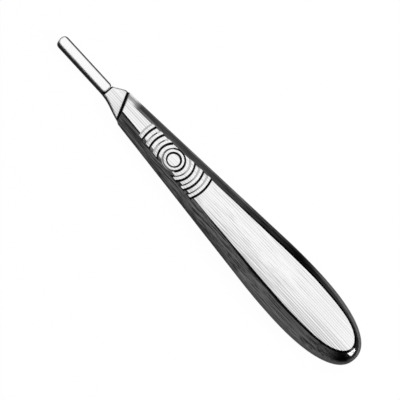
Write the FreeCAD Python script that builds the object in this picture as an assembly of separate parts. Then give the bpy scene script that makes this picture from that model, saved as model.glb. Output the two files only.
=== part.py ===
import FreeCAD, Part
import math
import os

# A heavy one-piece scalpel handle in stainless steel: a forged blank of oval section,
# ground flat above and below, with raised finger ridges on both flats and a stepped
# tongue at the front that a replaceable blade slides onto.
#
# While it is built, x runs from the tip of the tongue to the butt, y runs across, and
# z = 0 is the middle plane of the blank. At the end the handle is laid on its underside.
# All sizes are in millimetres.

V = FreeCAD.Vector

# The whole handle.
LENGTH = 160.0
FRONT_WIDTH = 12.2  # across the blank just behind the shoulder
FRONT_WIDTH_AT = 37.0  # from the tip
WIDEST = 25.8
WIDEST_FROM_BUTT = 32.0
WIDTH_BLEND = 17.0  # length over which the straight taper eases into the widest place
BUTT_ROUNDNESS = 2.3  # 2 is an ellipse in plan, more is squarer
BUTT_SIDE_ROUNDNESS = 2.7  # the same in side view

# The ground flats: level at the front, then opening out, then level again to the butt.
FRONT_THICKNESS = 4.8
REAR_THICKNESS = 10.1
SWELL_FROM_TIP = 60.0  # where the front level and the slope would meet
SWELL_BLEND = 36.0
REAR_LEVEL_BLEND = 24.0  # centred on the widest place
FRONT_CROWN = 0.19  # what grinding takes off the oval blank, each side, at the shoulder
REAR_CROWN = 1.35  # the same from the widest place on
CROWN_GROWTH = 1.3  # 1 grows evenly between the two, more keeps it small for longer
FLAT_TO_BUTT = 4.25  # polished rim left behind the flats

# The neck and the slanted shoulder that the back edge of the blade meets.
SHOULDER_FROM_TIP = 34.0  # on the centre line
SHOULDER_SLANT = 25.0  # degrees off square
SEAT_DEPTH = 2.7  # below the top flat
NECK_LONG_SIDE = 36.6  # from the tip, where the narrow side of the neck ends
NECK_LONG_SIDE_Y = 5.1
NECK_LONG_SIDE_RUN_OUT = 1.9
NECK_SHORT_SIDE = 32.4  # from the tip, where the flared side meets the body
NECK_SHORT_SIDE_START_Y = 2.5
NECK_LONG_SIDE_START_PULL = 3.4  # how far each end of the two curves stays straight
NECK_LONG_SIDE_END_PULL = 5.4
NECK_SHORT_SIDE_START_PULL = 1.9
NECK_SHORT_SIDE_END_PULL = 2.6
NECK_OVERCUT = 0.4  # the cutter leaves the blank by this much

# The tongue: a base flush with the underside, a narrower web, and a rail over it.
TONGUE_LENGTH = 25.75
TONGUE_WIDTH = 4.2
NOSE_RADIUS = 1.8
ROOT_RADIUS = 1.2
RAIL_TOP = 1.45  # above the blade seat
GROOVE_HEIGHT = 0.55  # takes a blade 0.4 thick
GROOVE_DEPTH = 0.6
BASE_EDGE_RADIUS = 0.35

# The finger grip: a ring with three ridges before and behind it, all about one centre.
GRIP_FROM_TIP = 61.1
GRIP_OFFSET = -0.5  # to the side that the shoulder slants back on
RING_RADIUS = 3.5  # to the middle of the ring's crest
FIRST_RIDGE_RADIUS = 7.15
RIDGE_PITCH = 3.75
RIDGE_COUNT = 3
RIDGE_WIDTH = 1.6  # at half height
RIDGE_HEIGHT = 0.45
RIDGE_WALL_RUN = 0.5  # how far each sloping wall spreads from crest to foot
RIDGE_OVERHANG = 0.7  # ridge ends reach past the edge of the flat

# Working allowances of the model itself, not seen on the finished handle.
ROOTED = 0.6  # how deep a ridge starts below the flat
TRIMMED_OFF = 0.2  # extra height of a ridge before its crest is trimmed
CLEAR = 5.0  # how far a cutter reaches beyond the metal
SAME_PLACE = 0.01  # points nearer than this count as one
TAPER_SECTIONS = 12
BLEND_SECTIONS = 4
BUTT_SECTIONS = 12
SHARED_SECTIONS = 4  # so many of them are lofted with the widest part
LEAN_STEPS = 400

WIDEST_AT = LENGTH - WIDEST_FROM_BUTT
TAPER_END = WIDEST_AT - WIDTH_BLEND
FLAT_END_AT = LENGTH - FLAT_TO_BUTT
SEAT_Z = FRONT_THICKNESS / 2 - SEAT_DEPTH
UNDERSIDE_Z = -FRONT_THICKNESS / 2
TONGUE_HALF = TONGUE_WIDTH / 2


def rounded(along, roundness):
    """Falls from 1 at along 0 to nothing at along 1, like a quarter of an oval."""
    return max(0.0, 1 - along**roundness) ** (1 / roundness)


def half_width(x):
    """Half the width of the oval blank at x, as seen from above."""
    taper_length = WIDEST_AT - WIDTH_BLEND / 2 - FRONT_WIDTH_AT
    slope = (WIDEST - FRONT_WIDTH) / 2 / taper_length
    if x <= TAPER_END:
        return FRONT_WIDTH / 2 + slope * (x - FRONT_WIDTH_AT)
    if x <= WIDEST_AT:
        return WIDEST / 2 - slope * (WIDEST_AT - x) ** 2 / (2 * WIDTH_BLEND)
    along = (x - WIDEST_AT) / WIDEST_FROM_BUTT
    return WIDEST / 2 * rounded(along, BUTT_ROUNDNESS)


def eased(distance, blend):
    """Zero, then rising one for one past distance zero, with the corner eased over blend."""
    if distance <= -blend / 2:
        return 0.0
    if distance >= blend / 2:
        return distance
    return (distance + blend / 2) ** 2 / (2 * blend)


def half_thickness(x):
    """Height of the top flat above the middle plane at x."""
    slope = (REAR_THICKNESS - FRONT_THICKNESS) / 2 / (WIDEST_AT - SWELL_FROM_TIP)
    climb = eased(x - SWELL_FROM_TIP, SWELL_BLEND) - eased(x - WIDEST_AT, REAR_LEVEL_BLEND)
    return FRONT_THICKNESS / 2 + slope * climb


def full_depth(x):
    """Half the depth that the oval would have at x without the rounding of the butt."""
    past_front = max(0.0, min(x, WIDEST_AT) - FRONT_WIDTH_AT)
    share = (past_front / (WIDEST_AT - FRONT_WIDTH_AT)) ** CROWN_GROWTH
    return half_thickness(x) + FRONT_CROWN + (REAR_CROWN - FRONT_CROWN) * share


def half_depth(x):
    """Half the depth of the oval at x. The butt is rounded so that the flats end in place."""
    flat_share = half_thickness(FLAT_END_AT) / full_depth(FLAT_END_AT)
    rounding = FLAT_TO_BUTT / (1 - rounded(flat_share, BUTT_SIDE_ROUNDNESS))
    along = max(0.0, (x - (LENGTH - rounding)) / rounding)
    return full_depth(x) * rounded(along, BUTT_SIDE_ROUNDNESS)


def flat_half_width(x):
    """Half the width of the ground flat at x, where the oval dips below it."""
    return half_width(x) * math.sqrt(1 - (half_thickness(x) / half_depth(x)) ** 2)


def oval_section(x):
    """Upper and lower half ellipses of the blank at x, as one wire."""
    side = V(x, half_width(x), 0)
    top = V(x, 0, half_depth(x))
    ellipse = Part.Ellipse(side, top, V(x, 0, 0))
    halves = [Part.ArcOfEllipse(ellipse, k * math.pi, (k + 1) * math.pi) for k in range(2)]
    return Part.Wire([half.toShape() for half in halves])


def blank():
    """The forged oval body: the straight taper, the widest part and the rounded butt."""
    taper_step = (TAPER_END - TONGUE_LENGTH) / TAPER_SECTIONS
    taper = [TONGUE_LENGTH + taper_step * k for k in range(TAPER_SECTIONS + 1)]
    widest = [TAPER_END + WIDTH_BLEND * k / BLEND_SECTIONS for k in range(BLEND_SECTIONS)]
    quarter = [math.pi / 2 * k / BUTT_SECTIONS for k in range(BUTT_SECTIONS)]
    rounding = [WIDEST_AT + WIDEST_FROM_BUTT * math.sin(angle) for angle in quarter]
    widest += rounding[:SHARED_SECTIONS + 1]
    butt = [oval_section(x) for x in rounding[SHARED_SECTIONS:]]
    front_body = Part.makeLoft([oval_section(x) for x in taper], True)
    middle_body = Part.makeLoft([oval_section(x) for x in widest], True)
    rear_body = Part.makeLoft(butt + [Part.Vertex(LENGTH, 0, 0)], True)
    return front_body.fuse([middle_body, rear_body])


def path(points):
    """Straight edges through the points."""
    return [Part.LineSegment(a, b).toShape() for a, b in zip(points, points[1:])]


def side_edges(face, extra):
    """Side view of one flat from front to back, moved extra outward. face is 1 or -1."""

    def point(x):
        return V(x, -WIDEST, face * (half_thickness(x) + extra))

    edges = []
    start = point(TONGUE_LENGTH - CLEAR)
    for corner, blend in ((SWELL_FROM_TIP, SWELL_BLEND), (WIDEST_AT, REAR_LEVEL_BLEND)):
        before = point(corner - blend / 2)
        after = point(corner + blend / 2)
        level = before if corner == SWELL_FROM_TIP else after
        curve = Part.BezierCurve()
        curve.setPoles([before, V(corner, -WIDEST, level.z), after])
        edges += path([start, before]) + [curve.toShape()]
        start = after
    return edges + path([start, point(LENGTH + CLEAR)])


def between_flats(extra=0.0):
    """Everything between the two flats, or between levels that stand extra outside them."""
    upper = side_edges(1, extra)
    lower = side_edges(-1, extra)
    front = path([lower[0].firstVertex().Point, upper[0].firstVertex().Point])
    back = path([upper[-1].lastVertex().Point, lower[-1].lastVertex().Point])
    outline = Part.Wire(Part.sortEdges(upper + back + lower + front)[0])
    return Part.Face(outline).extrude(V(0, 2 * WIDEST, 0))


def prism(edges, bottom, top):
    """A plan outline drawn at z = 0, made into a solid from bottom to top."""
    face = Part.Face(Part.Wire(edges))
    face.translate(V(0, 0, bottom))
    return face.extrude(V(0, 0, top - bottom))


def smooth_edge(start, start_pull, end, end_pull):
    """One curve that leaves start along start_pull and reaches end along end_pull."""
    curve = Part.BezierCurve()
    curve.setPoles([start, start + start_pull, end - end_pull, end])
    return curve.toShape()


def neck_side_cutters():
    """The two cutters that narrow the blank to the tongue, unlike on the two sides."""
    outside = WIDEST
    front = TONGUE_LENGTH - CLEAR

    long_start = V(TONGUE_LENGTH, -TONGUE_HALF, 0)
    long_end = V(NECK_LONG_SIDE, -NECK_LONG_SIDE_Y, 0)
    run_out_x = NECK_LONG_SIDE + NECK_LONG_SIDE_RUN_OUT
    run_out = V(run_out_x, -half_width(run_out_x) - NECK_OVERCUT, 0)
    flank = (long_end - long_start).normalize()
    long_curve = smooth_edge(
        long_start, V(NECK_LONG_SIDE_START_PULL, 0, 0), long_end, flank * NECK_LONG_SIDE_END_PULL
    )
    long_rest = path([
        long_end,
        run_out,
        V(run_out_x, -outside, 0),
        V(front, -outside, 0),
        V(front, -TONGUE_HALF, 0),
        long_start,
    ])

    short_start = V(TONGUE_LENGTH, NECK_SHORT_SIDE_START_Y, 0)
    short_end = V(NECK_SHORT_SIDE, half_width(NECK_SHORT_SIDE) + NECK_OVERCUT, 0)
    flare = V(NECK_SHORT_SIDE_START_PULL, NECK_SHORT_SIDE_START_PULL / 2, 0)
    short_curve = smooth_edge(short_start, flare, short_end, V(NECK_SHORT_SIDE_END_PULL, 0, 0))
    short_rest = path([
        short_end,
        V(NECK_SHORT_SIDE, outside, 0),
        V(front, outside, 0),
        V(front, NECK_SHORT_SIDE_START_Y, 0),
        short_start,
    ])

    reach = REAR_THICKNESS
    return [
        prism([long_curve] + long_rest, -reach, reach),
        prism([short_curve] + short_rest, -reach, reach),
    ]


def seat_cutter():
    """Clears the metal above the blade seat, back to the slanted shoulder."""
    lean = WIDEST * math.tan(math.radians(SHOULDER_SLANT))
    front = TONGUE_LENGTH - CLEAR - lean
    corners = [
        V(front, -WIDEST, 0),
        V(SHOULDER_FROM_TIP + lean, -WIDEST, 0),
        V(SHOULDER_FROM_TIP - lean, WIDEST, 0),
        V(front, WIDEST, 0),
        V(front, -WIDEST, 0),
    ]
    return prism(path(corners), SEAT_Z, REAR_THICKNESS)


def upright_edges(solid, x):
    """The edges of the solid that stand upright at x."""
    return [
        e
        for e in solid.Edges
        if max(abs(e.BoundBox.XMin - x), abs(e.BoundBox.XMax - x)) < SAME_PLACE
        and e.BoundBox.YLength < SAME_PLACE
    ]


def tongue_layer(inset, nose_radius, root_radius, bottom, top):
    """One layer of the tongue: rounded at the nose, and at the root if root_radius is set."""
    half = TONGUE_HALF - inset
    corners = [
        V(inset, -half, 0),
        V(TONGUE_LENGTH, -half, 0),
        V(TONGUE_LENGTH, half, 0),
        V(inset, half, 0),
        V(inset, -half, 0),
    ]
    layer = prism(path(corners), bottom, top)
    layer = layer.makeFillet(nose_radius, upright_edges(layer, inset))
    if root_radius:
        layer = layer.makeFillet(root_radius, upright_edges(layer, TONGUE_LENGTH))
    return layer


def tongue():
    """Base, web and rail of the blade fitting."""
    groove_top = SEAT_Z + GROOVE_HEIGHT
    base = tongue_layer(0.0, NOSE_RADIUS, 0.0, UNDERSIDE_Z, SEAT_Z)
    low = [
        e
        for e in base.Edges
        if e.BoundBox.ZMax < UNDERSIDE_Z + SAME_PLACE
        and e.BoundBox.XMin < TONGUE_LENGTH - SAME_PLACE
    ]
    base = base.makeFillet(BASE_EDGE_RADIUS, low)
    web = tongue_layer(GROOVE_DEPTH, NOSE_RADIUS - GROOVE_DEPTH, 0.0, SEAT_Z, groove_top)
    rail = tongue_layer(0.0, NOSE_RADIUS, ROOT_RADIUS, groove_top, SEAT_Z + RAIL_TOP)
    return [base, web, rail]


def ridge(radius, side, face):
    """A full turn of ridge, too high and rooted too deep, on the upper or lower face.

    Its foot stands on the flat as the flat lies on that side of the grip's centre.
    """
    floor = half_thickness(GRIP_FROM_TIP + side * radius)
    spread = RIDGE_WALL_RUN / RIDGE_HEIGHT
    foot = floor - ROOTED
    tip = floor + RIDGE_HEIGHT + TRIMMED_OFF
    foot_half = RIDGE_WIDTH / 2 + spread * (floor + RIDGE_HEIGHT / 2 - foot)
    tip_half = RIDGE_WIDTH / 2 - spread * (tip - floor - RIDGE_HEIGHT / 2)
    corners = [
        V(radius - foot_half, 0, face * foot),
        V(radius + foot_half, 0, face * foot),
        V(radius + tip_half, 0, face * tip),
        V(radius - tip_half, 0, face * tip),
        V(radius - foot_half, 0, face * foot),
    ]
    centre = V(GRIP_FROM_TIP, GRIP_OFFSET, 0)
    profile = Part.Face(Part.Wire(path([centre + corner for corner in corners])))
    return profile.revolve(centre, V(0, 0, 1), 360)


def grip_field(side):
    """The stretch of the flats that ridges keep to, before or behind the grip's centre.

    It is a little wider than the flats, and has both stretches when side is 0.
    """
    reach = FIRST_RIDGE_RADIUS + RIDGE_PITCH * RIDGE_COUNT
    front = GRIP_FROM_TIP - (reach if side <= 0 else 0)
    back = GRIP_FROM_TIP + (reach if side >= 0 else 0)
    front_half = flat_half_width(front) + RIDGE_OVERHANG
    back_half = flat_half_width(back) + RIDGE_OVERHANG
    corners = [
        V(front, GRIP_OFFSET - front_half, 0),
        V(back, GRIP_OFFSET - back_half, 0),
        V(back, GRIP_OFFSET + back_half, 0),
        V(front, GRIP_OFFSET + front_half, 0),
        V(front, GRIP_OFFSET - front_half, 0),
    ]
    return prism(path(corners), -REAR_THICKNESS, REAR_THICKNESS)


def grip():
    """The ring and ridges of both faces, ready to join to the body."""
    crest = between_flats(RIDGE_HEIGHT)
    radii = [FIRST_RIDGE_RADIUS + RIDGE_PITCH * k for k in range(RIDGE_COUNT)]
    pieces = []
    for face in (1, -1):
        pieces.append(ridge(RING_RADIUS, 0, face).common(grip_field(0)).common(crest))
        for side in (-1, 1):
            field = grip_field(side)
            pieces += [ridge(radius, side, face).common(field).common(crest) for radius in radii]
    return pieces


def laid_at_rest(shape):
    """Lays the handle on its underside, which touches at the tongue's nose and far back."""
    nose = V(BASE_EDGE_RADIUS, 0, FRONT_THICKNESS / 2)
    step = (LENGTH - SWELL_FROM_TIP) / LEAN_STEPS
    places = [SWELL_FROM_TIP + step * k for k in range(LEAN_STEPS)]
    lean = max(math.atan2(half_thickness(x) - nose.z, x - nose.x) for x in places)
    shape.rotate(V(0, 0, 0), V(0, 1, 0), -math.degrees(lean))
    box = FreeCAD.BoundBox()
    for point in shape.tessellate(SAME_PLACE)[0]:
        box.add(point)
    shape.translate(V(-box.Center.x, -box.Center.y, -box.ZMin))
    return shape


def scalpel_handle():
    """The whole handle as one solid."""
    body = blank().common(between_flats())
    body = body.cut(neck_side_cutters())
    body = body.fuse(grip())
    body = body.cut(seat_cutter())
    body = body.fuse(tongue())
    return laid_at_rest(body.removeSplitter().Solids[0])


handle = scalpel_handle()
os.makedirs("parts", exist_ok=True)
handle.exportStep("parts/scalpel_handle.step")
print("scalpel_handle", handle.ShapeType, "valid", handle.isValid(), "solids", len(handle.Solids))
print("volume", round(handle.Volume), "faces", len(handle.Faces), handle.BoundBox)
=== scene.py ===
import math

import bpy
from mathutils import Matrix, Vector

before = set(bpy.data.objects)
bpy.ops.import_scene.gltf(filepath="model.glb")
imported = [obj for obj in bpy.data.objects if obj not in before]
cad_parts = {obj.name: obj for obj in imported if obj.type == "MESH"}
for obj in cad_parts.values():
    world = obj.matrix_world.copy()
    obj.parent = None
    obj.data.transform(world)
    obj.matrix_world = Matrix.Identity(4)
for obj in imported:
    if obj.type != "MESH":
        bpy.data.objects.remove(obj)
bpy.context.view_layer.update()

# The handle lies nose down: its middle plane climbs towards the butt by NOSE_DOWN.
# Sizes below are in millimetres and turned to metres where they meet Blender.
MM = 0.001
NOSE_DOWN = math.radians(1.137)
along = Vector((math.cos(NOSE_DOWN), 0, math.sin(NOSE_DOWN)))
square_up = Vector((-math.sin(NOSE_DOWN), 0, math.cos(NOSE_DOWN)))


# The camera: a long lens above the handle, leaning towards the shoulder's long side.
# The handle's axis runs down to the right across the whole picture.
VIEW_LEAN = math.radians(22.0)
PICTURE_TURN = math.radians(47.43)
DISTANCE = 900.0
NEAREST = 10.0
FIELD = 147.1
SENSOR = 36.0
AIM = Vector((-1.56, -2.13, 3.09))

to_camera = -math.sin(VIEW_LEAN) * Vector((0, 1, 0)) + math.cos(VIEW_LEAN) * square_up
across = to_camera.cross(along)
right = math.cos(PICTURE_TURN) * along + math.sin(PICTURE_TURN) * across
up = -math.sin(PICTURE_TURN) * along + math.cos(PICTURE_TURN) * across
lens = bpy.data.cameras.new("camera")
lens.sensor_width = SENSOR
lens.lens = SENSOR * DISTANCE / FIELD
lens.clip_start = NEAREST * MM
camera = bpy.data.objects.new("camera", lens)
bpy.context.scene.collection.objects.link(camera)
stand = (AIM + DISTANCE * to_camera) * MM
camera.matrix_world = Matrix.Translation(stand) @ Matrix((right, up, to_camera)).transposed().to_4x4()
bpy.context.scene.camera = camera


def linear(text):
    """An sRGB hex colour as linear red, green, blue and alpha."""
    parts = [int(text[k:k + 2], 16) / 255 for k in (1, 3, 5)]
    return [c / 12.92 if c <= 0.04045 else ((c + 0.055) / 1.055) ** 2.4 for c in parts] + [1.0]


def node(material, kind, settings=None, **sockets):
    """Adds a node. Each socket is a value or a link; a name such as in_1 means socket 1."""
    made = material.node_tree.nodes.new("ShaderNode" + kind)
    for name, value in (settings or {}).items():
        setattr(made, name, value)
    for name, value in sockets.items():
        key = int(name[3:]) if name.startswith("in_") else name.replace("_", " ")
        socket = made.inputs[key]
        if isinstance(value, bpy.types.NodeSocket):
            material.node_tree.links.new(value, socket)
        else:
            socket.default_value = value
    return made


def blank_material(name):
    """A new material with no nodes."""
    made = bpy.data.materials.new(name)
    made.use_nodes = True
    made.node_tree.nodes.clear()
    return made


# The floor: a sheet of white card with a trace of paper grain. It shows white to the
# camera and in the steel, and still takes a soft shadow from the handle.
FLOOR_SIDE = 3000.0
CARD_WHITE = "#f6f6f6"
SHOWN_WHITE = 0.97
GRAINS_ACROSS = 900.0
GRAIN_HEIGHT = 0.1

card = blank_material("white_card")
grain = node(card, "TexNoise", Scale=GRAINS_ACROSS, Detail=3.0)
grain_bump = node(card, "Bump", Strength=0.05, Distance=GRAIN_HEIGHT * MM, Height=grain.outputs[0])
card_tone = node(card, "MapRange", Value=grain.outputs[0], To_Min=0.985, To_Max=1.0)
card_colour = node(
    card, "MixRGB", {"blend_type": "MULTIPLY"},
    Fac=1.0, Color1=linear(CARD_WHITE), Color2=card_tone.outputs[0],
)
lit = node(card, "BsdfDiffuse", Color=card_colour.outputs[0], Normal=grain_bump.outputs[0])
white = node(card, "Emission", Color=[1, 1, 1, 1], Strength=1.0)
path = node(card, "LightPath")
seen = path.outputs["Is Camera Ray"]
for mirrored in (path.outputs["Is Glossy Ray"], path.outputs["Is Transmission Ray"]):
    seen = node(card, "Math", {"operation": "MAXIMUM"}, in_0=seen, in_1=mirrored).outputs[0]
share = node(card, "Math", {"operation": "MULTIPLY"}, in_0=seen, in_1=SHOWN_WHITE)
card_mix = node(card, "MixShader", Fac=share.outputs[0], in_1=lit.outputs[0], in_2=white.outputs[0])
node(card, "OutputMaterial", Surface=card_mix.outputs[0])

half = FLOOR_SIDE / 2 * MM
corners = [(-half, -half, 0), (half, -half, 0), (half, half, 0), (-half, half, 0)]
floor_mesh = bpy.data.meshes.new("floor")
floor_mesh.from_pydata(corners, [], [(0, 1, 2, 3)])
floor_mesh.materials.append(card)
floor = bpy.data.objects.new("floor", floor_mesh)
bpy.context.scene.collection.objects.link(floor)


# The room: grey walls, light on the side of the tongue and dark on the far side, which
# is what the finger ridges and the polished rims mirror.
WALL_LIGHT = "#ececec"
WALL_DARK = "#565656"
DARK_SIDE = Vector((0.9, 0.42, 0.0))

world = bpy.data.worlds.new("room")
world.use_nodes = True
world.node_tree.nodes.clear()
looking = node(world, "TexCoord")
side = node(
    world, "VectorMath", {"operation": "DOT_PRODUCT"},
    in_0=looking.outputs["Generated"], in_1=list(DARK_SIDE),
)
wall_tone = node(
    world, "MapRange", {"interpolation_type": "SMOOTHSTEP"},
    Value=side.outputs["Value"], From_Min=-0.6, From_Max=0.95,
)
wall_colour = node(
    world, "MixRGB", Fac=wall_tone.outputs[0], Color1=linear(WALL_LIGHT), Color2=linear(WALL_DARK),
)
wall = node(world, "Background", Color=wall_colour.outputs[0], Strength=1.0)
node(world, "OutputWorld", Surface=wall.outputs[0])
bpy.context.scene.world = world


# The lights: a large soft box where the flats mirror the camera, and a brighter one past
# the butt that leaves one short highlight behind the flat.
def soft_box(name, place, aim, width, depth, strength):
    """A rectangular soft light at place, facing aim. strength is its radiance."""
    light = bpy.data.lights.new(name, "AREA")
    light.shape = "RECTANGLE"
    light.size = width * MM
    light.size_y = depth * MM
    light.energy = strength * math.pi * light.size * light.size_y
    lamp = bpy.data.objects.new(name, light)
    lamp.location = Vector(place) * MM
    lamp.rotation_euler = (Vector(aim) - Vector(place)).to_track_quat("-Z", "Y").to_euler()
    bpy.context.scene.collection.objects.link(lamp)


soft_box("overhead_box", place=(0, 400, 900), aim=(0, 0, 0), width=1400, depth=1100, strength=0.50)
soft_box("butt_side_box", place=(880, 260, 560), aim=(75, 0, 5), width=500, depth=340, strength=16.0)


# The handle: one forging of stainless steel. Its two flats, finger ridges and tongue are
# ground with a belt along the length, which leaves them pale and finely lined. Its rims
# are polished with lengthwise streaks, and their dark tone is a painted dark reflection.
FLAT_STEEL = "#fafafa"
FLAT_STEEL_DARK = "#bebebe"
# A pale grey painted as light on the ridges' walls.
WALL_PAINTED_LIT = "#d0d0d0"
# The dark rim and nose greys are painted dark reflection; the streak grey marks the polish.
RIM_PAINTED_REFLECTION = "#242424"
RIM_STREAK = "#747474"
NOSE_PAINTED_REFLECTION = "#4a4a4a"
# Black for painted shade and painted dark reflection.
PAINTED_BLACK = "#101010"
# A dark grey painted as shade on upright sides.
UPRIGHT_PAINTED_DARK = "#2c2c2c"
GRAZING_STEEL = "#bcbcbc"
# The way a wall faces where it takes painted shade.
DARK_FACING = Vector((0.68, 0.74, 0.0))

# The looks are laid out in the handle's own millimetres: X from the tongue's tip, Y across,
# plus towards the shoulder's short side, and Z up from the middle plane. A pair of numbers
# says where a change begins and where it is complete. FLAT_FACING is how squarely a face
# looks up or down, from rim to ground flat.
FRAME_ORIGIN = [79.91, 0, -3.979]
FLAT_FACING = (0.982, 0.995)

steel = blank_material("belt_ground_and_polished_stainless_steel")
place = node(steel, "TexCoord")
design = node(
    steel, "Mapping", Vector=place.outputs["Object"], Scale=[1 / MM] * 3,
    Rotation=[0, NOSE_DOWN, 0], Location=FRAME_ORIGIN,
).outputs[0]
spot = node(steel, "SeparateXYZ", Vector=design)
spot_x, spot_y, spot_z = spot.outputs["X"], spot.outputs["Y"], spot.outputs["Z"]
facing = node(
    steel, "VectorMath", {"operation": "DOT_PRODUCT"},
    in_0=place.outputs["Normal"], in_1=list(square_up),
)
upright = node(steel, "Math", {"operation": "ABSOLUTE"}, in_0=facing.outputs["Value"])
on_flat = node(
    steel, "MapRange", {"interpolation_type": "SMOOTHSTEP"},
    Value=upright.outputs[0], From_Min=FLAT_FACING[0], From_Max=FLAT_FACING[1],
)

# The ground flats in side view, as in the solid: level, sloping, and level again.
HALF_FRONT = 2.4
HALF_REAR = 5.05
SWELL_AT = 60.0
SWELL_BLEND = 36.0
LEVEL_AT = 128.0
LEVEL_BLEND = 24.0


def climb(corner, blend):
    """Height gained past corner at a rise of one in one, with the corner eased over blend."""
    bend = node(
        steel, "MapRange", Value=spot_x,
        From_Min=corner - blend / 2, From_Max=corner + blend / 2, To_Min=0.0, To_Max=blend,
    )
    square = node(steel, "Math", {"operation": "POWER"}, in_0=bend.outputs[0], in_1=2.0)
    eased = node(steel, "Math", {"operation": "DIVIDE"}, in_0=square.outputs[0], in_1=2 * blend)
    past = node(steel, "Math", {"operation": "SUBTRACT"}, in_0=spot_x, in_1=corner + blend / 2)
    straight = node(steel, "Math", {"operation": "MAXIMUM"}, in_0=past.outputs[0], in_1=0.0)
    return node(
        steel, "Math", {"operation": "ADD"}, in_0=eased.outputs[0], in_1=straight.outputs[0],
    ).outputs[0]


slope = (HALF_REAR - HALF_FRONT) / (LEVEL_AT - SWELL_AT)
rise = node(
    steel, "Math", {"operation": "SUBTRACT"},
    in_0=climb(SWELL_AT, SWELL_BLEND), in_1=climb(LEVEL_AT, LEVEL_BLEND),
)
flat_height = node(
    steel, "Math", {"operation": "MULTIPLY_ADD"}, in_0=rise.outputs[0], in_1=slope, in_2=HALF_FRONT,
)
height = node(steel, "Math", {"operation": "ABSOLUTE"}, in_0=spot_z)
# 1 at the edge of the flats, 0 along the middle of the rim.
up_the_rim = node(
    steel, "Math", {"operation": "DIVIDE"}, in_0=height.outputs[0], in_1=flat_height.outputs[0],
).outputs[0]

# Belt lines, drawn 0.85 mm apart and wandering a little, because the real ones are too fine
# to show. The belt leaves the flats greyer in long patches; the flats are also greyer towards
# the shoulder's long side, and the tongue a little brighter. Cells of a pattern are counted
# per millimetre along, across and up the handle: a patch is about 30 mm long and 3 mm wide.
BELT_LINE = 0.85
BELT_LINE_DEPTH = 0.115
BELT_WANDER = 9.0
BELT_CELLS = [0.015, 2.6, 2.6]
PATCH_CELLS = [0.03, 0.3, 0.3]
PATCH_DEPTH = 0.18
GREY_SIDE = 8.0
TONGUE_STARTS = (27.0, 25.0)

belt_place = node(steel, "Mapping", Vector=design, Scale=BELT_CELLS)
belt = node(
    steel, "TexNoise", Vector=belt_place.outputs[0], Scale=1.0, Detail=3.0, Roughness=0.65,
).outputs[0]
patch_place = node(steel, "Mapping", Vector=design, Scale=PATCH_CELLS)
patch = node(steel, "TexNoise", Vector=patch_place.outputs[0], Scale=1.0, Detail=1.0).outputs[0]
long_side = node(
    steel, "MapRange", Value=spot_y, From_Min=-GREY_SIDE, From_Max=0.0, To_Min=-0.16, To_Max=0.08,
)
tongue_side = node(
    steel, "MapRange", Value=spot_x,
    From_Min=TONGUE_STARTS[0], From_Max=TONGUE_STARTS[1], To_Min=0.0, To_Max=0.25,
)
patches = node(
    steel, "Math", {"operation": "MULTIPLY_ADD"}, in_0=patch, in_1=PATCH_DEPTH, in_2=long_side.outputs[0],
)
wander = node(steel, "Math", {"operation": "MULTIPLY"}, in_0=patch, in_1=BELT_WANDER)
belt_turn = node(
    steel, "Math", {"operation": "MULTIPLY_ADD"},
    in_0=spot_y, in_1=2 * math.pi / BELT_LINE, in_2=wander.outputs[0],
)
belt_wave = node(steel, "Math", {"operation": "SINE"}, in_0=belt_turn.outputs[0])
belt_soft = node(
    steel, "MapRange", Value=belt, From_Min=0.3, From_Max=0.7, To_Min=0.32, To_Max=0.68,
)
belt_sum = node(
    steel, "Math", {"operation": "MULTIPLY_ADD"},
    in_0=belt_wave.outputs[0], in_1=BELT_LINE_DEPTH, in_2=belt_soft.outputs[0],
)
for change in (patches, tongue_side):
    belt_sum = node(
        steel, "Math", {"operation": "ADD"}, in_0=belt_sum.outputs[0], in_1=change.outputs[0],
    )
belt_tone = node(steel, "MapRange", Value=belt_sum.outputs[0], From_Min=0.36, From_Max=0.7)
flat_colour = node(
    steel, "MixRGB",
    Fac=belt_tone.outputs[0], Color1=linear(FLAT_STEEL_DARK), Color2=linear(FLAT_STEEL),
)

# Streaks of the polish, drawn out along the rims, about 0.4 mm wide, coarser than the real
# ones so that they show. Under the streaks the rims' dark base is a painted dark reflection,
# an even dark grey where the rims stand upright.
STREAK_CELLS = [0.03, 2.4, 2.4]

streak_place = node(steel, "Mapping", Vector=design, Scale=STREAK_CELLS)
streak = node(
    steel, "TexNoise", Vector=streak_place.outputs[0], Scale=1.0, Detail=4.0, Roughness=0.75,
).outputs[0]
streak_tone = node(steel, "MapRange", Value=streak, From_Min=0.4, From_Max=0.6)
streaked_painted_rim = node(
    steel, "MixRGB", Fac=streak_tone.outputs[0], Color1=linear(RIM_PAINTED_REFLECTION), Color2=linear(RIM_STREAK),
)
off_nose = node(
    steel, "MapRange", {"interpolation_type": "SMOOTHSTEP"},
    Value=upright.outputs[0], From_Min=0.3, From_Max=0.6,
)
shaded_rim = node(
    steel, "MixRGB", Fac=off_nose.outputs[0], Color1=linear(NOSE_PAINTED_REFLECTION), Color2=streaked_painted_rim.outputs[0],
)

# Painted dark reflection on the shoulder's short side is deepest three quarters of the way
# back, with painted light towards both ends. On its long side the painted dark is deeper
# low on the front half.
DARK_FROM = 88.0
DARKEST = 118.0
DARK_TO = 137.0
LIGHT_FRONT = (92.0, 80.0)
LIGHT_REAR = (130.0, 140.0)
FRONT_HALF = (108.0, 98.0)
LOW_ON_RIM = (0.75, 0.35)

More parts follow.
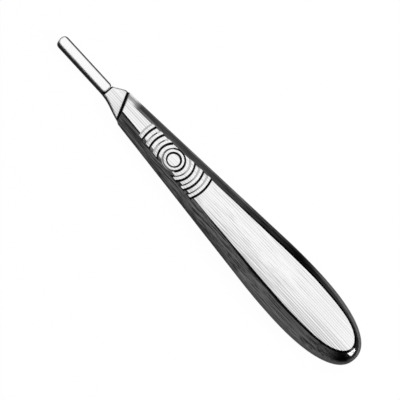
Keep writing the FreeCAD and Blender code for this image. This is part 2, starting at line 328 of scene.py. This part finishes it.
short_side = node(steel, "MapRange", Value=spot_y, From_Min=0.0, From_Max=1.0)
on_long_side = node(steel, "MapRange", Value=spot_y, From_Min=0.0, From_Max=-1.0)
painted_darkening = node(
    steel, "MapRange", Value=spot_x, From_Min=DARK_FROM, From_Max=DARKEST, To_Min=0.0, To_Max=0.95,
)
easing = node(
    steel, "MapRange", {"interpolation_type": "SMOOTHSTEP"},
    Value=spot_x, From_Min=DARK_TO, From_Max=DARKEST,
)
low_rim = node(
    steel, "MapRange", Value=up_the_rim,
    From_Min=LOW_ON_RIM[0], From_Max=LOW_ON_RIM[1], To_Min=0.0, To_Max=0.5,
)
front_half = node(steel, "MapRange", Value=spot_x, From_Min=FRONT_HALF[0], From_Max=FRONT_HALF[1])
light_front = node(
    steel, "MapRange", Value=spot_x,
    From_Min=LIGHT_FRONT[0], From_Max=LIGHT_FRONT[1], To_Min=0.0, To_Max=0.4,
)
light_rear = node(
    steel, "MapRange", Value=spot_x,
    From_Min=LIGHT_REAR[0], From_Max=LIGHT_REAR[1], To_Min=0.0, To_Max=0.45,
)
light_ends = node(
    steel, "Math", {"operation": "MAXIMUM"}, in_0=light_front.outputs[0], in_1=light_rear.outputs[0],
)
painted_lighter = node(
    steel, "Math", {"operation": "MULTIPLY"}, in_0=light_ends.outputs[0], in_1=short_side.outputs[0],
)
short_side_painted_dark = short_side
for limit in (painted_darkening, easing):
    short_side_painted_dark = node(
        steel, "Math", {"operation": "MULTIPLY"}, in_0=short_side_painted_dark.outputs[0], in_1=limit.outputs[0],
    )
long_side_painted_dark = on_long_side
for limit in (low_rim, front_half):
    long_side_painted_dark = node(
        steel, "Math", {"operation": "MULTIPLY"}, in_0=long_side_painted_dark.outputs[0], in_1=limit.outputs[0],
    )
painted_darker = node(
    steel, "Math", {"operation": "MAXIMUM"}, in_0=short_side_painted_dark.outputs[0], in_1=long_side_painted_dark.outputs[0],
)
rim_with_painted_light = node(
    steel, "MixRGB", Fac=painted_lighter.outputs[0], Color1=shaded_rim.outputs[0], Color2=linear(RIM_STREAK),
)
rim_with_painted_dark = node(
    steel, "MixRGB", Fac=painted_darker.outputs[0], Color1=rim_with_painted_light.outputs[0], Color2=linear(PAINTED_BLACK),
)

# A painted dark reflection draws a line where the rim starts at the flat: growing from the
# middle of the handle back, and again beside the level front on the shoulder's long side.
# Its width is a share of the flat's height above the middle plane.
REAR_LINE_GROWS = (74.0, 108.0)
REAR_LINE_WIDTH = 0.085
FRONT_LINE_GROWS = (50.0, 46.0)
FRONT_LINE_WIDTH = 0.05

rear_line = node(
    steel, "MapRange", Value=spot_x,
    From_Min=REAR_LINE_GROWS[0], From_Max=REAR_LINE_GROWS[1], To_Min=0.0, To_Max=REAR_LINE_WIDTH,
)
front_line = node(
    steel, "MapRange", Value=spot_x,
    From_Min=FRONT_LINE_GROWS[0], From_Max=FRONT_LINE_GROWS[1], To_Min=0.0, To_Max=FRONT_LINE_WIDTH,
)
front_here = node(
    steel, "Math", {"operation": "MULTIPLY"}, in_0=front_line.outputs[0], in_1=on_long_side.outputs[0],
)
line_width = node(
    steel, "Math", {"operation": "MAXIMUM"}, in_0=rear_line.outputs[0], in_1=front_here.outputs[0],
)
line_reach = node(steel, "Math", {"operation": "ADD"}, in_0=up_the_rim, in_1=line_width.outputs[0])
painted_edge_line = node(steel, "MapRange", Value=line_reach.outputs[0], From_Min=1.0, From_Max=1.015)
lined_rim = node(
    steel, "MixRGB", Fac=painted_edge_line.outputs[0], Color1=rim_with_painted_dark.outputs[0], Color2=linear(PAINTED_BLACK),
)

# Behind the flats the rim turns down over the butt, with a painted black reflection on the
# long side.
BUTT_DARKENS = (149.0, 156.0)
BUTT_DARK_SIDE = (-1.5, -4.0)

at_butt = node(
    steel, "MapRange", {"interpolation_type": "SMOOTHSTEP"},
    Value=spot_x, From_Min=BUTT_DARKENS[0], From_Max=BUTT_DARKENS[1],
)
butt_side = node(
    steel, "MapRange", Value=spot_y, From_Min=BUTT_DARK_SIDE[0], From_Max=BUTT_DARK_SIDE[1],
)
butt_painted_black = at_butt
for limit in (butt_side, off_nose):
    butt_painted_black = node(
        steel, "Math", {"operation": "MULTIPLY"}, in_0=butt_painted_black.outputs[0], in_1=limit.outputs[0],
    )
butt_painted_dark = node(
    steel, "MixRGB", Fac=butt_painted_black.outputs[0], Color1=lined_rim.outputs[0], Color2=linear(PAINTED_BLACK),
)

# The ridges' walls stand above the flats: painted shade, black, on the side away from the
# tip, and painted light, pale, on the other.
away = node(
    steel, "VectorMath", {"operation": "DOT_PRODUCT"},
    in_0=place.outputs["Normal"], in_1=list(DARK_FACING),
)
painted_wall_shade = node(steel, "MapRange", Value=away.outputs["Value"], From_Min=0.1, From_Max=0.3)
ridge_painted_light_and_shade = node(
    steel, "MixRGB", Fac=painted_wall_shade.outputs[0], Color1=linear(WALL_PAINTED_LIT), Color2=linear(PAINTED_BLACK),
)
above_flat = node(steel, "MapRange", Value=up_the_rim, From_Min=1.0, From_Max=1.01)
with_ridges = node(
    steel, "MixRGB",
    Fac=above_flat.outputs[0], Color1=butt_painted_dark.outputs[0], Color2=ridge_painted_light_and_shade.outputs[0],
)

# Painted shade lies at the foot of the ridges, on their sides away from the tip. The
# ridges stand evenly about the ring's centre, so one repeating band follows them all. A
# band's pair is its half width, from where it begins to where it is black.
RING_CENTRE = (61.1, -0.5)
FIRST_RIDGE = 7.15
PITCH = 3.75
FOOT = 0.95
RIDGE_BAND = (0.5, 0.36)
GRIP_TOP = (0.965, 0.985)
GRIP_STARTS = (3.0, 3.1)
GRIP_ENDS = (16.3, 16.0)

from_ring = node(
    steel, "Mapping", Vector=design, Scale=[1, 1, 0], Location=[-RING_CENTRE[0], -RING_CENTRE[1], 0],
).outputs[0]
ring_reach = node(steel, "VectorMath", {"operation": "LENGTH"}, in_0=from_ring).outputs["Value"]
past_first = node(steel, "Math", {"operation": "SUBTRACT"}, in_0=ring_reach, in_1=FIRST_RIDGE)
ring_side = node(
    steel, "VectorMath", {"operation": "DOT_PRODUCT"}, in_0=from_ring, in_1=list(DARK_FACING),
)
ring_sign = node(steel, "Math", {"operation": "SIGN"}, in_0=ring_side.outputs["Value"])
signed = node(
    steel, "Math", {"operation": "MULTIPLY"}, in_0=past_first.outputs[0], in_1=ring_sign.outputs[0],
)
along_pitch = node(steel, "Math", {"operation": "FLOORED_MODULO"}, in_0=signed.outputs[0], in_1=PITCH)
off_foot = node(steel, "Math", {"operation": "SUBTRACT"}, in_0=along_pitch.outputs[0], in_1=FOOT)
off_foot_size = node(steel, "Math", {"operation": "ABSOLUTE"}, in_0=off_foot.outputs[0])
ridge_foot_painted_shade = node(
    steel, "MapRange", Value=off_foot_size.outputs[0], From_Min=RIDGE_BAND[0], From_Max=RIDGE_BAND[1],
)
for measure, (none, full) in ((up_the_rim, GRIP_TOP), (ring_reach, GRIP_STARTS), (ring_reach, GRIP_ENDS)):
    limit = node(steel, "MapRange", Value=measure, From_Min=none, From_Max=full)
    ridge_foot_painted_shade = node(
        steel, "Math", {"operation": "MULTIPLY"}, in_0=ridge_foot_painted_shade.outputs[0], in_1=limit.outputs[0],
    )
painted_shades = [ridge_foot_painted_shade]

# Round the ring the painted shade lies all the way: thick on the inner wall, thin on the outer one.
RING_INSIDE = 2.72
RING_OUTSIDE = 4.2
INSIDE_BAND = (0.42, 0.3)
OUTSIDE_BAND = (0.28, 0.18)

for wall_at, (none, full), depth in ((RING_INSIDE, INSIDE_BAND, 1.0), (RING_OUTSIDE, OUTSIDE_BAND, 0.75)):
    off_wall = node(steel, "Math", {"operation": "SUBTRACT"}, in_0=ring_reach, in_1=wall_at)
    off_wall_size = node(steel, "Math", {"operation": "ABSOLUTE"}, in_0=off_wall.outputs[0])
    painted_shades.append(node(
        steel, "MapRange", Value=off_wall_size.outputs[0],
        From_Min=none, From_Max=full, To_Min=0.0, To_Max=depth,
    ))

# The same painted shade lines the foot of the slanted shoulder, the grooves and the rail's
# root, and the rail's edge on the short side.
SLANT = math.radians(25.0)
SHOULDER_AT = 34.0 * math.cos(SLANT)
SHOULDER_BAND = (SHOULDER_AT - 0.75, SHOULDER_AT - 0.6)
SHOULDER_FACE = (SHOULDER_AT + 0.12, SHOULDER_AT + 0.02)
SEAT_TOP = (-0.6, -0.5)
GROOVE_TOP = (0.0, -0.15)
RAIL_ROOT = (26.3, 26.1)
RAIL_EDGE = (1.36, 1.56)

to_shoulder = node(
    steel, "VectorMath", {"operation": "DOT_PRODUCT"},
    in_0=design, in_1=[math.cos(SLANT), math.sin(SLANT), 0],
).outputs["Value"]
near_shoulder, before_shoulder, above_seat, in_groove, at_root = (
    node(steel, "MapRange", Value=measure, From_Min=none, From_Max=full)
    for measure, (none, full) in (
        (to_shoulder, SHOULDER_BAND), (to_shoulder, SHOULDER_FACE), (spot_z, SEAT_TOP),
        (spot_z, GROOVE_TOP), (spot_x, RAIL_ROOT),
    )
)
far_edge = node(
    steel, "MapRange", Value=spot_y,
    From_Min=RAIL_EDGE[0], From_Max=RAIL_EDGE[1], To_Min=0.0, To_Max=0.85,
)
for painted_shade, limits in (
    (above_seat, (near_shoulder, before_shoulder)),
    (above_seat, (in_groove, at_root)),
    (far_edge, (at_root,)),
):
    for limit in limits:
        painted_shade = node(
            steel, "Math", {"operation": "MULTIPLY"}, in_0=painted_shade.outputs[0], in_1=limit.outputs[0],
        )
    painted_shades.append(painted_shade)

# The neck is ground pale like the flats, and the short side's rim where it starts takes
# the same pale colour, ending raggedly over its first few millimetres. The upright sides of
# the neck carry painted shade.
SMEAR = 6.0
SMEAR_ENDS = (41.5, 38.5)

neck_colour = node(
    steel, "MixRGB",
    Fac=off_nose.outputs[0], Color1=linear(UPRIGHT_PAINTED_DARK), Color2=flat_colour.outputs[0],
)
smear = node(steel, "Math", {"operation": "MULTIPLY_ADD"}, in_0=streak, in_1=SMEAR, in_2=spot_x)
smeared = node(
    steel, "MapRange", Value=smear.outputs[0], From_Min=SMEAR_ENDS[0], From_Max=SMEAR_ENDS[1],
)
bright_start = node(
    steel, "Math", {"operation": "MULTIPLY"}, in_0=smeared.outputs[0], in_1=short_side.outputs[0],
)
neck = node(
    steel, "Math", {"operation": "MAXIMUM"},
    in_0=bright_start.outputs[0], in_1=before_shoulder.outputs[0],
)
off_flat = node(
    steel, "MixRGB", Fac=neck.outputs[0], Color1=with_ridges.outputs[0], Color2=neck_colour.outputs[0],
)
ground_colour = node(
    steel, "MixRGB", Fac=on_flat.outputs[0], Color1=off_flat.outputs[0], Color2=flat_colour.outputs[0],
)

# The broken edges carry a painted dark reflection of the room, which outlines every face.
# They are drawn wider than they are, most on the tongue, so that they show.
TONGUE_EDGE = 1.0
BODY_EDGE = 0.24
BODY_STARTS = (33.0, 38.0)

edge_size = node(
    steel, "MapRange", Value=spot_x, From_Min=BODY_STARTS[0], From_Max=BODY_STARTS[1],
    To_Min=TONGUE_EDGE * MM, To_Max=BODY_EDGE * MM,
)
edge = node(steel, "Bevel", {"samples": 6}, Radius=edge_size.outputs[0])
face = node(steel, "NewGeometry")
turned = node(
    steel, "VectorMath", {"operation": "DOT_PRODUCT"}, in_0=edge.outputs[0], in_1=face.outputs["Normal"],
)
painted_dark = node(
    steel, "MapRange", Value=turned.outputs["Value"],
    From_Min=0.996, From_Max=0.955, To_Min=0.0, To_Max=0.92,
)
for painted_shade in painted_shades:
    painted_dark = node(steel, "Math", {"operation": "MAXIMUM"}, in_0=painted_dark.outputs[0], in_1=painted_shade.outputs[0])
colour = node(
    steel, "MixRGB", Fac=painted_dark.outputs[0], Color1=ground_colour.outputs[0], Color2=linear(PAINTED_BLACK),
)

# The belt leaves the flats satin and faintly ridged, and the polish leaves the rims nearly
# sharp.
BELT_HEIGHT = 0.05

flat_rough = node(
    steel, "MapRange", Value=belt, From_Min=0.3, From_Max=0.7, To_Min=0.2, To_Max=0.3,
)
rough = node(steel, "Math", {"operation": "MULTIPLY"}, in_0=on_flat.outputs[0], in_1=flat_rough.outputs[0])
streak_rough = node(
    steel, "MapRange", Value=streak, From_Min=0.3, From_Max=0.7, To_Min=0.08, To_Max=0.16,
)
rough_all = node(steel, "Math", {"operation": "ADD"}, in_0=rough.outputs[0], in_1=streak_rough.outputs[0])
belt_bump = node(
    steel, "Bump", Strength=0.12, Distance=BELT_HEIGHT * MM, Height=belt, Normal=edge.outputs[0],
)
surface = node(
    steel, "BsdfPrincipled", Base_Color=colour.outputs[0], Metallic=1.0,
    Roughness=rough_all.outputs[0], Specular_Tint=linear(GRAZING_STEEL), Normal=belt_bump.outputs[0],
)
node(steel, "OutputMaterial", Surface=surface.outputs[0])

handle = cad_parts["scalpel_handle"]
for slot in handle.material_slots:
    slot.material = steel


bpy.context.scene.view_settings.view_transform = "Standard"
